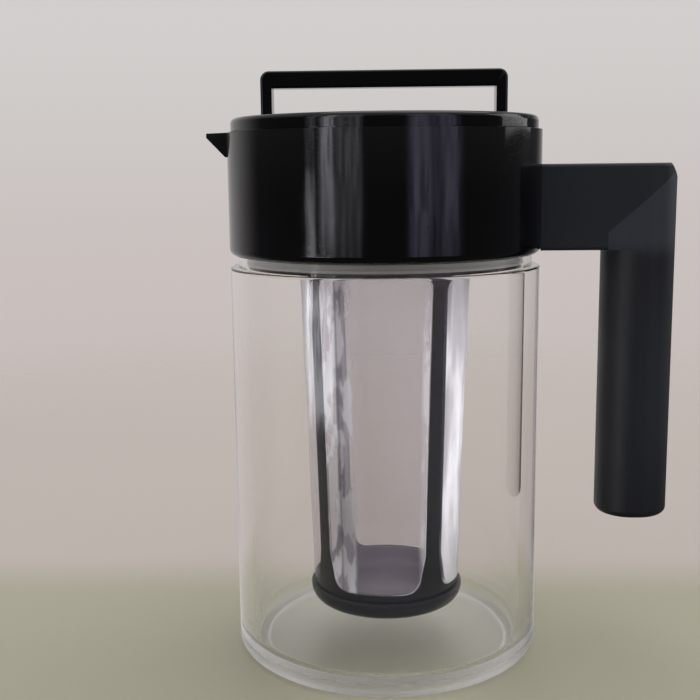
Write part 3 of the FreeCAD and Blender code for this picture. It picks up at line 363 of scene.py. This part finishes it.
def make_sleeve():
    low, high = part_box("filter_mesh")
    tall = high.z - low.z
    shape = bmesh.new()
    grid = []
    for j in range(MESH_STEPS_UP + 1):
        up = j / MESH_STEPS_UP
        radius = MESH_RADIUS_LOW + (MESH_RADIUS_TOP - MESH_RADIUS_LOW) * up
        row = []
        for i in range(MESH_STEPS_ROUND):
            angle = 2 * math.pi * i / MESH_STEPS_ROUND
            inside = inside_window(angle, up * tall, (1 - up) * tall, radius)
            round_it = Vector((math.cos(angle), math.sin(angle), 0))
            slack = 0.45 + 0.5 * noise.noise(round_it * 3.2 + Vector((0, 0, up * 4.5)))
            slack += 0.3 * noise.noise(round_it * 9 + Vector((3, 0, up * 3.5)))
            free = min(1, max(0, inside) / (7 * MM)) ** 0.7
            dive = min(1, max(0, -inside) / (0.35 * MM))
            reach = radius - MESH_INSET - MESH_SLACK * free * max(slack, 0) - MESH_DIVE * dive
            row.append(shape.verts.new((reach * round_it.x, reach * round_it.y, low.z + tall * up)))
        grid.append(row)
    weave = shape.loops.layers.uv.new("Weave")
    for j in range(MESH_STEPS_UP):
        for i in range(MESH_STEPS_ROUND):
            after = (i + 1) % MESH_STEPS_ROUND
            face = shape.faces.new((grid[j][i], grid[j][after], grid[j + 1][after], grid[j + 1][i]))
            for loop, (a, b) in zip(face.loops, ((i, j), (i + 1, j), (i + 1, j + 1), (i, j + 1))):
                loop[weave].uv = (a / MESH_STEPS_ROUND * 2 * math.pi * MESH_RADIUS_TOP, b / MESH_STEPS_UP * tall)
    return new_piece("filter_weave", shape, "filter_group", "mesh", MESH, "filter_mesh")


make_sleeve()


# Floor: pale and plain, a little lighter further back, and fading out into the surroundings
FLOOR_TONE = (0.455, 0.442, 0.338, 1)
BACK_TONE = (0.59, 0.53, 0.495, 1)


def make_floor():
    shape = bmesh.new()
    bmesh.ops.create_circle(shape, cap_ends=True, radius=1.5, segments=96)
    data = bpy.data.meshes.new("floor")
    shape.to_mesh(data)
    shape.free()
    floor = bpy.data.objects.new("floor", data)
    floor.location.z = -0.2 * MM
    bpy.context.scene.collection.objects.link(floor)
    floor.visible_glossy = False
    material, tree, shader = new_material("floor")
    place = place_of(tree)
    away = add_node(tree, "VectorMath", {"operation": "LENGTH"}, Vector=place).outputs["Value"]
    back = add_node(tree, "SeparateXYZ", None, Vector=place).outputs["Y"]
    tint = blended(tree, spread(tree, back, 0.035, 0.085, 0, 1), FLOOR_TONE, BACK_TONE)
    tint = blended(tree, calc(tree, "MULTIPLY", cloud(tree, place, 9, 3), 0.08), tint, (0.45, 0.43, 0.36, 1))
    feed(tree, shader.inputs["Base Color"], tint)
    feed(tree, shader.inputs["Roughness"], calc(tree, "MULTIPLY_ADD", cloud(tree, place, 300, 3), 0.15, 0.3))
    feed(tree, shader.inputs["Normal"], bumped(tree, cloud(tree, place, 700, 3), 0.00005, 0.3))
    shader.inputs["Specular IOR Level"].default_value = 0.15
    through = tree.nodes.new("ShaderNodeBsdfTransparent")
    mixed = add_node(tree, "MixShader", None, Fac=spread(tree, away, 0.22, 0.85, 0, 1))
    tree.links.new(shader.outputs[0], mixed.inputs[1])
    tree.links.new(through.outputs[0], mixed.inputs[2])
    tree.links.new(mixed.outputs[0], tree.nodes["Material Output"].inputs["Surface"])
    data.materials.append(material)


make_floor()


# Surroundings: an even pale studio. Polished surfaces mirror a darker room with a few soft upright lights.
WORLD_LOW = (0.49, 0.445, 0.41, 1)
WORLD_MIDDLE = (0.585, 0.53, 0.515, 1)
WORLD_HIGH = (0.64, 0.62, 0.61, 1)
MIRROR_LIGHTS = [
    # From and to these angles from the front towards +X, from and to these heights above the level,
    # all in degrees, then the softness of the edges, the strength and the colour
    (-57, -50, -0.5, 40, 3, 0.8, (1, 0.98, 1.05)),
    (-57, -50, -5.6, -1, 2, 2.5, (1, 0.98, 1.05)),
    (-47, -16, -4.8, 40, 4, 0.9, (1, 0.98, 1.08)),
    (-44.5, -36, -3.4, 40, 3, 1.9, (1, 0.98, 1.08)),
    (17, 55, -4.5, 40, 6, 0.44, (0.97, 0.90, 1.45)),
    (19, 32, -4.5, 40, 5, 0.55, (0.92, 0.94, 1.15)),
    (41, 52, -4.5, 40, 4, 0.5, (0.92, 0.92, 1.2)),
    (-58, -38, -13.2, -6.2, 2, 7.5, (1, 0.99, 1.06)),
    (-57, -52.5, -7.8, -5.8, 1.4, 11, (1, 0.99, 1.06)),
]


def make_world():
    world = bpy.data.worlds.new("studio")
    bpy.context.scene.world = world
    world.use_nodes = True
    tree = world.node_tree
    way = tree.nodes.new("ShaderNodeTexCoord").outputs["Generated"]
    parts = add_node(tree, "SeparateXYZ", None, Vector=way)
    x, y, z = parts.outputs
    plain = blended(tree, spread(tree, z, -0.38, -0.08, 0, 1), WORLD_LOW, WORLD_MIDDLE)
    plain = blended(tree, spread(tree, z, -0.10, 0.14, 0, 1), plain, WORLD_HIGH)
    behind = calc(tree, "MULTIPLY_ADD", x, -0.35, y)
    mirror = blended(tree, spread(tree, behind, 0.5, 1.0, 0, 1), (0.065, 0.062, 0.070, 1), (0.6, 0.57, 0.57, 1))
    mirror = blended(tree, spread(tree, z, 0.25, 0.8, 0, 1), mirror, (0.5, 0.48, 0.49, 1))
    turn = calc(tree, "ARCTAN2", x, calc(tree, "MULTIPLY", y, -1))
    rise = calc(tree, "ARCSINE", z)
    broken = spread(tree, cloud(tree, way, 22, 3), 0.38, 0.58, 0.35, 1)
    for left, right, low, high, soft, strength, colour in MIRROR_LIGHTS:
        share = broken
        for value, start, end in ((turn, left, right), (rise, low, high)):
            for edge, before in ((start, 0), (end, 1)):
                step = spread(tree, value, math.radians(edge - soft / 2), math.radians(edge + soft / 2),
                              before, 1 - before)
                share = calc(tree, "MULTIPLY", share, step)
        glow = tree.nodes.new("ShaderNodeMix")
        glow.data_type = "RGBA"
        glow.blend_type = "ADD"
        feed(tree, glow.inputs["Factor"], share)
        feed(tree, glow.inputs["A"], mirror)
        feed(tree, glow.inputs["B"], (*[v * strength for v in colour], 1))
        mirror = glow.outputs["Result"]
    path = tree.nodes.new("ShaderNodeLightPath")
    mirrored = calc(tree, "MULTIPLY", path.outputs["Is Glossy Ray"],
                    calc(tree, "SUBTRACT", 1, path.outputs["Is Transmission Ray"]))
    ground = tree.nodes["Background"]
    feed(tree, ground.inputs["Color"], blended(tree, mirrored, plain, mirror))


make_world()


def softbox(name, place, size, power, colour=(1, 1, 1)):
    """A square area light aimed at the object's middle."""
    data = bpy.data.lights.new(name, "AREA")
    data.shape = "SQUARE"
    data.size = size
    data.energy = power
    data.color = colour
    light = bpy.data.objects.new(name, data)
    bpy.context.scene.collection.objects.link(light)
    light.location = place
    light.rotation_mode = "QUATERNION"
    light.rotation_quaternion = (Vector((0, 0, 0.12)) - Vector(place)).to_track_quat("-Z", "Y")
    light.visible_camera = False
    light.visible_transmission = False


softbox("overhead", (0.3, 0.5, 2.2), 2.0, 14)
softbox("side", (1.4, 0.5, 0.7), 1.0, 4)


def accent(name, place, aim, energy, cone):
    """A narrow soft light that shows in no mirror and through no glass."""
    data = bpy.data.lights.new(name, "SPOT")
    data.energy = energy
    data.spot_size = math.radians(cone)
    data.spot_blend = 0.7
    data.shadow_soft_size = 0.02
    light = bpy.data.objects.new(name, data)
    bpy.context.scene.collection.objects.link(light)
    light.location = place
    light.rotation_mode = "QUATERNION"
    light.rotation_quaternion = (Vector(aim) - light.location).to_track_quat("-Z", "Y")
    light.visible_camera = False
    light.visible_transmission = False
    light.visible_glossy = False


# The first two make the mesh shine, and the third lights the table under the filter
accent("mesh_light", (0.56, -0.2, 0.13), (0.01, -0.01, 0.085), 16, 11.5)
accent("streak_light", (-0.5, -0.3, 0.2), (-0.015, -0.015, 0.105), 6, 9)
accent("base_light", (0.03, -0.43, 0.15), (0, -0.008, 0), 5, 9)


# Camera, as fitted to the photograph
CAMERA_AWAY = 0.386
CAMERA_HEIGHT = 0.171
CAMERA_YAW = math.radians(1.85)
CAMERA_PITCH = math.radians(9.5)
CAMERA_ROLL = math.radians(-0.6)
FOCAL_PIXELS = 1100
PICTURE_SIDE = 700
SENSOR = 36

camera_data = bpy.data.cameras.new("camera")
camera_data.sensor_width = SENSOR
camera_data.lens = SENSOR * FOCAL_PIXELS / PICTURE_SIDE
camera_data.clip_start = 0.01
camera_data.clip_end = 50
camera = bpy.data.objects.new("camera", camera_data)
bpy.context.scene.collection.objects.link(camera)
turn = Matrix.Rotation(CAMERA_YAW, 4, "Z") @ Matrix.Rotation(math.pi / 2 - CAMERA_PITCH, 4, "X")
camera.matrix_world = (Matrix.Translation((0, -CAMERA_AWAY, CAMERA_HEIGHT)) @ turn
                       @ Matrix.Rotation(CAMERA_ROLL, 4, "Z"))
bpy.context.scene.camera = camera
bpy.context.scene.view_settings.view_transform = "Standard"

# Light has to cross many faces of the clear plastic
bpy.context.scene.cycles.max_bounces = 24
bpy.context.scene.cycles.glossy_bounces = 14
bpy.context.scene.cycles.transmission_bounces = 20
bpy.context.scene.cycles.transparent_max_bounces = 20
